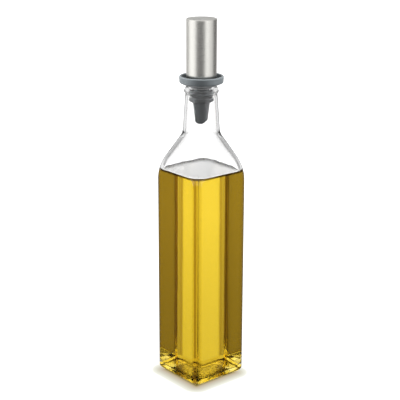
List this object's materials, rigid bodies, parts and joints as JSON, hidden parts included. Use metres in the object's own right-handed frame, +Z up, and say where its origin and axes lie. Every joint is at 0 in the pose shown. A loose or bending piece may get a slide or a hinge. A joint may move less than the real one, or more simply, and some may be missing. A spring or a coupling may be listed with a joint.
{
  "type": "oil dispenser with brush",
  "caption": "Square clear glass bottle of golden oil, closed by a grey silicone stopper with a round dish and pouring tube, under a tall brushed steel cap.",
  "frame": {"origin": "middle of the bottle's foot, on the surface that it stands on", "axes": "+Z up along the bottle's axis, the bottle's flat sides face X and Y"},
  "size_m": [0.046, 0.046, 0.2542],
  "materials": {
    "clear_glass": "clear, smooth",
    "golden_oil": "clear golden liquid",
    "grey_silicone": "satin",
    "brushed_steel": "brushed round the cap"
  },
  "bodies": {
    "root": {"glass_bottle": "clear_glass", "oil_fill": "golden_oil", "silicone_stopper": "grey_silicone", "steel_cap": "brushed_steel"}
  },
  "joints": []
}
